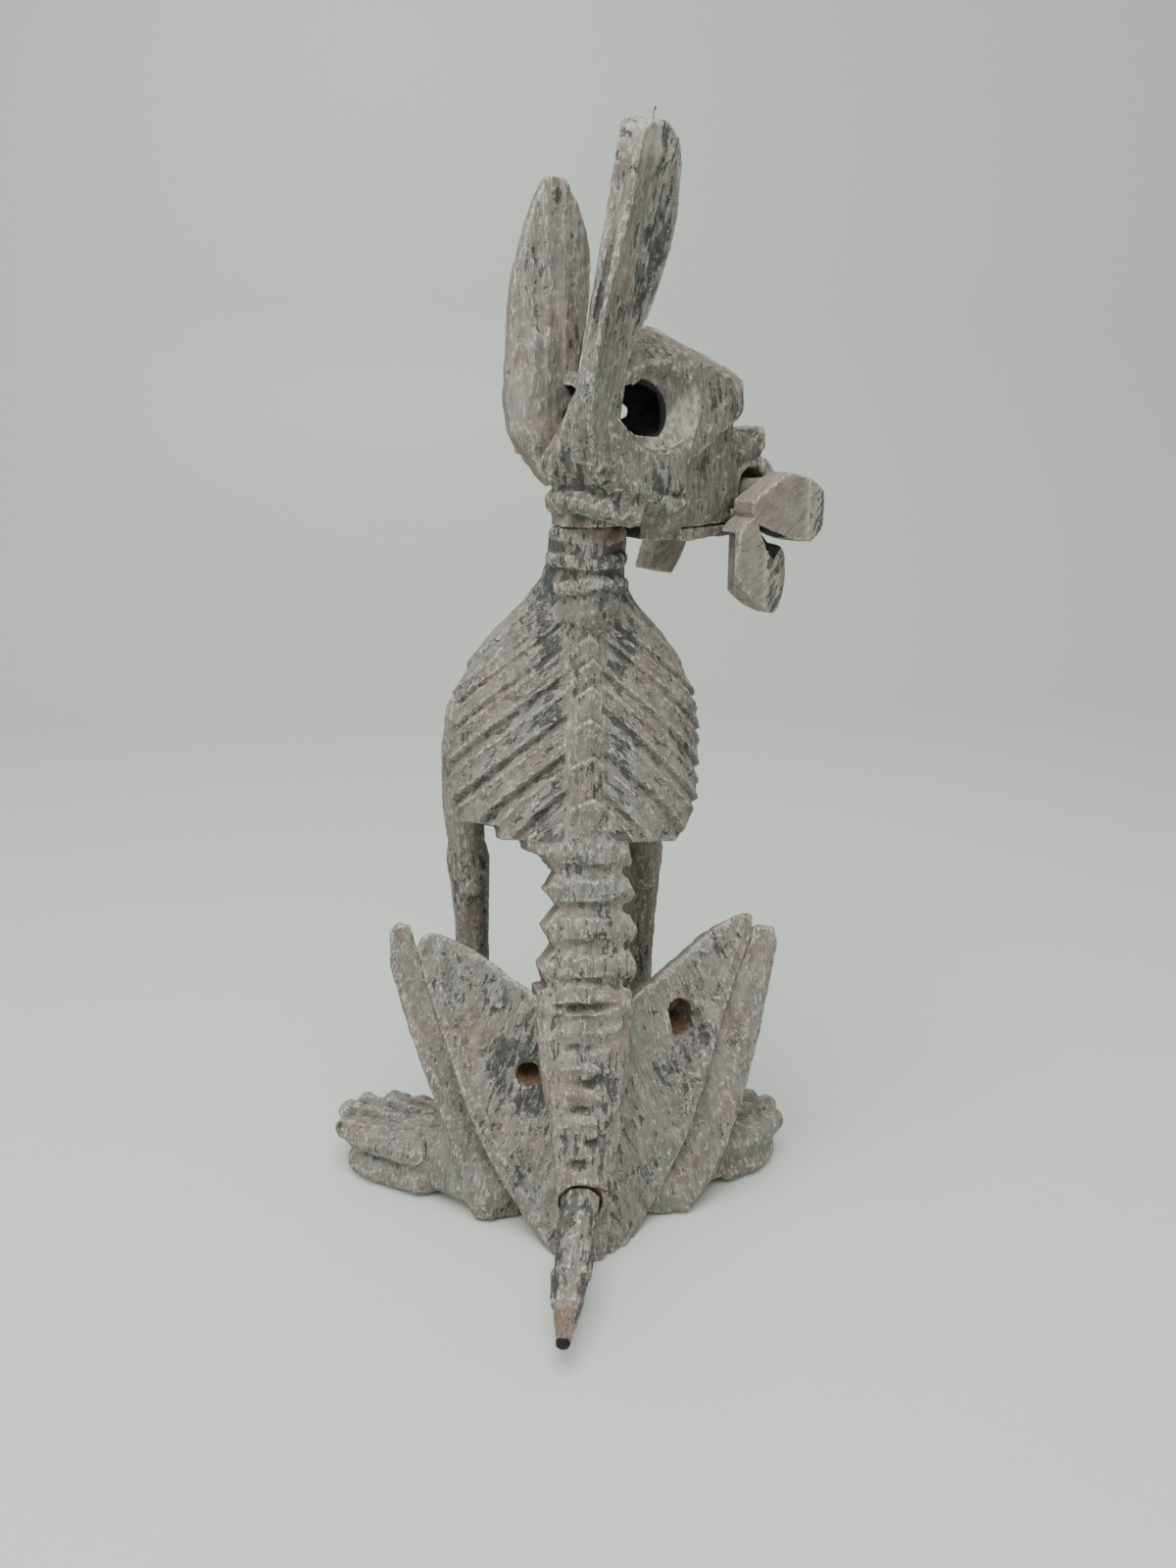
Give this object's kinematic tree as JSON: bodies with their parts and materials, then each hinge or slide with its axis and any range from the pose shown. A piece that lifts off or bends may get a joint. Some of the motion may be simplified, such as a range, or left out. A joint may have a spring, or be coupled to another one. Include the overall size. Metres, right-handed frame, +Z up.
{
  "type": "carved skeleton dog figure",
  "caption": "Seated skeleton dog carved in wood and limewashed, with a turning head, a loose bone through its mouth and a pegged tail.",
  "frame": {"origin": "centre of the flat seat under the pelvis, on the surface the figure sits on", "axes": "+Z up, -Y the way the chest faces, +X to the dog's own left"},
  "size_m": [0.2605, 0.2611, 0.4765],
  "materials": {
    "whitewashed_wood": "matte limewash, rubbed back to dark paint in the cuts",
    "bone_wood": "matte taupe faces with white worn edges",
    "dark_worn_wood": "matte limewash over dark paint, heavily rubbed",
    "raw_dowel": "bare turned hardwood"
  },
  "bodies": {
    "trunk": {"trunk": "whitewashed_wood", "neck_dowel": "raw_dowel", "left_thigh": "whitewashed_wood", "right_thigh": "whitewashed_wood", "left_lower_leg": "whitewashed_wood", "right_lower_leg": "whitewashed_wood", "left_front_leg": "whitewashed_wood", "right_front_leg": "whitewashed_wood", "left_hip_dowel": "raw_dowel", "right_hip_dowel": "raw_dowel", "left_knee_dowel": "raw_dowel", "right_knee_dowel": "raw_dowel", "left_shoulder_dowel": "raw_dowel", "right_shoulder_dowel": "raw_dowel"},
    "head": {"skull": "whitewashed_wood", "lower_jaw": "whitewashed_wood", "left_ear": "whitewashed_wood", "right_ear": "whitewashed_wood", "left_ear_dowel": "raw_dowel", "right_ear_dowel": "raw_dowel", "left_jaw_peg": "raw_dowel", "right_jaw_peg": "raw_dowel"},
    "bone": {"bone": "bone_wood"},
    "tail": {"tail": "dark_worn_wood", "tail_peg": "raw_dowel"}
  },
  "joints": [
    {"name": "head_turn", "type": "hinge", "parent": "trunk", "child": "head", "pos_m": [-0.011, -0.092, 0.321], "axis": [0, 0, 1], "continuous": true},
    {"name": "bone_roll", "type": "hinge", "parent": "head", "child": "bone", "pos_m": [-0.09067, -0.14374, 0.333], "axis": [0.5446, -0.8387, 0], "range_deg": [-50, 60]},
    {"name": "tail_turn", "type": "hinge", "parent": "trunk", "child": "tail", "pos_m": [0.004, 0.001, 0.029], "axis": [0.2117, 0.955, -0.2079], "continuous": true}
  ]
}
